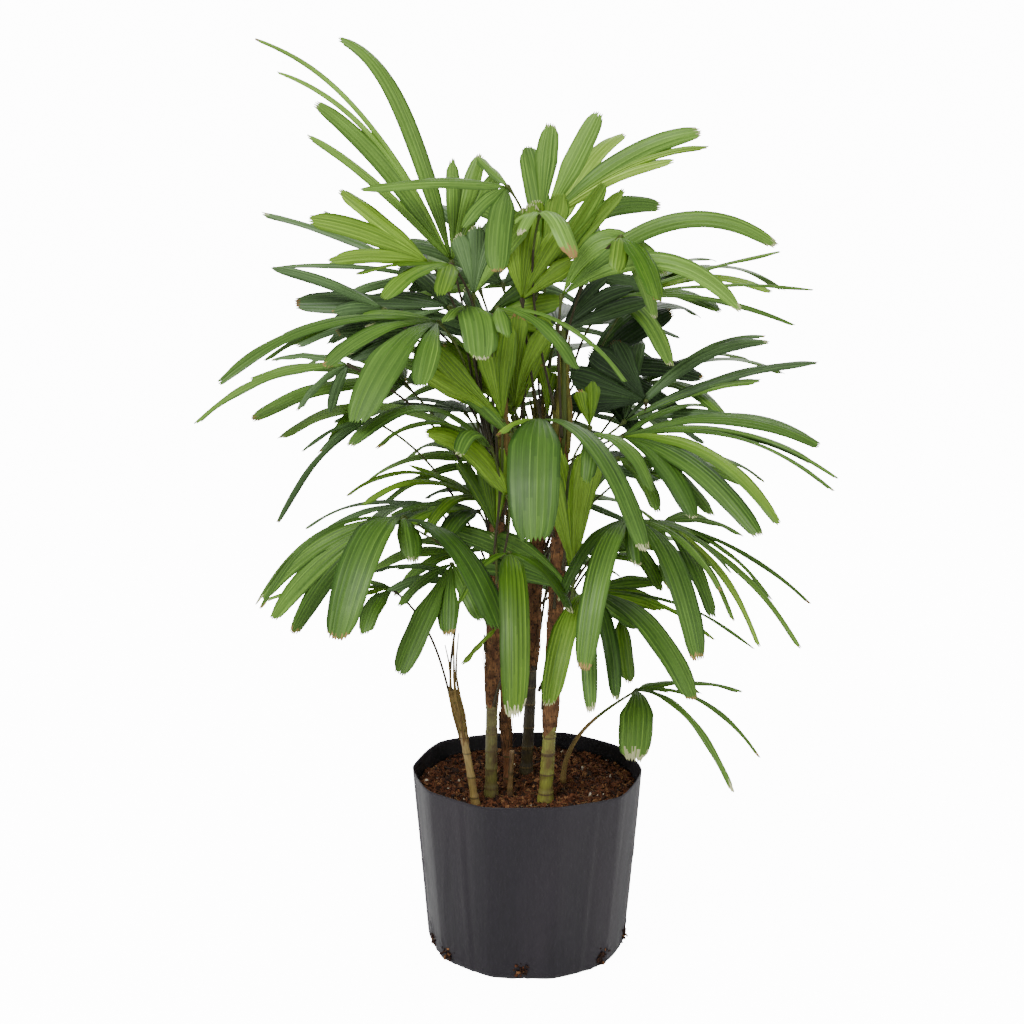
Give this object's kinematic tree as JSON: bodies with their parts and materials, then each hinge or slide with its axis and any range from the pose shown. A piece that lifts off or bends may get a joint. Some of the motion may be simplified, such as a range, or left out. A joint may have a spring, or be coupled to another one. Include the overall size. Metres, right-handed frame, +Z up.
{
  "type": "lady palm in a grow bag",
  "caption": "Clump of slender palm canes with fan leaves of drooping ribbed leaflets, standing in a black film grow bag of potting mix.",
  "frame": {"origin": "centre of the bag's flat underside", "axes": "+Z up along the canes, -Y the front, +X to the right seen from the front"},
  "size_m": [0.7491, 0.6806, 1.1267],
  "materials": {
    "film": "semi-matt creased film",
    "mix": "damp granular coir and bark",
    "cane": "smooth ringed cane, brown fibre above",
    "leaf": "leathery satin green"
  },
  "bodies": {
    "root": {"bag": "film", "cane_back": "cane", "cane_front": "cane", "cane_left": "cane", "cane_red": "cane", "cane_stub": "cane", "cane_thin_left": "cane", "leaf_back_1_1": "leaf", "leaf_back_1_2": "leaf", "leaf_back_2_1": "leaf", "leaf_back_2_2": "leaf", "leaf_back_2_3": "leaf", "leaf_back_2_4": "leaf", "leaf_back_3_1": "leaf", "leaf_back_3_2": "leaf", "leaf_back_3_3": "leaf", "leaf_back_3_4": "leaf", "leaf_back_3_5": "leaf", "leaf_back_4_1": "leaf", "leaf_back_4_2": "leaf", "leaf_back_4_3": "leaf", "leaf_back_4_4": "leaf", "leaf_back_5_1": "leaf", "leaf_back_5_2": "leaf", "leaf_back_5_3": "leaf", "leaf_foot_right": "leaf", "leaf_front_centre": "leaf", "leaf_front_right": "leaf", "leaf_left_arch": "leaf", "leaf_left_bright": "leaf", "leaf_left_broad": "leaf", "leaf_left_far": "leaf", "leaf_left_level": "leaf", "leaf_left_lower": "leaf", "leaf_left_olive": "leaf", "leaf_left_upper": "leaf", "leaf_low_arch": "leaf", "leaf_low_front": "leaf", "leaf_low_left": "leaf", "leaf_low_left_inner": "leaf", "leaf_low_left_rear": "leaf", "leaf_low_left_side": "leaf", "leaf_low_middle": "leaf", "leaf_low_right": "leaf", "leaf_middle_pale": "leaf", "leaf_middle_upper": "leaf", "leaf_right_dark": "leaf", "leaf_right_fold": "leaf", "leaf_right_hanging": "leaf", "leaf_right_level": "leaf", "leaf_right_rising": "leaf", "leaf_right_upper": "leaf", "leaf_top_fold": "leaf", "leaf_top_left": "leaf", "leaf_top_middle": "leaf", "leaf_upright_left": "leaf", "leaf_upright_middle": "leaf", "leaf_yellow": "leaf", "mix": "mix"}
  },
  "joints": []
}
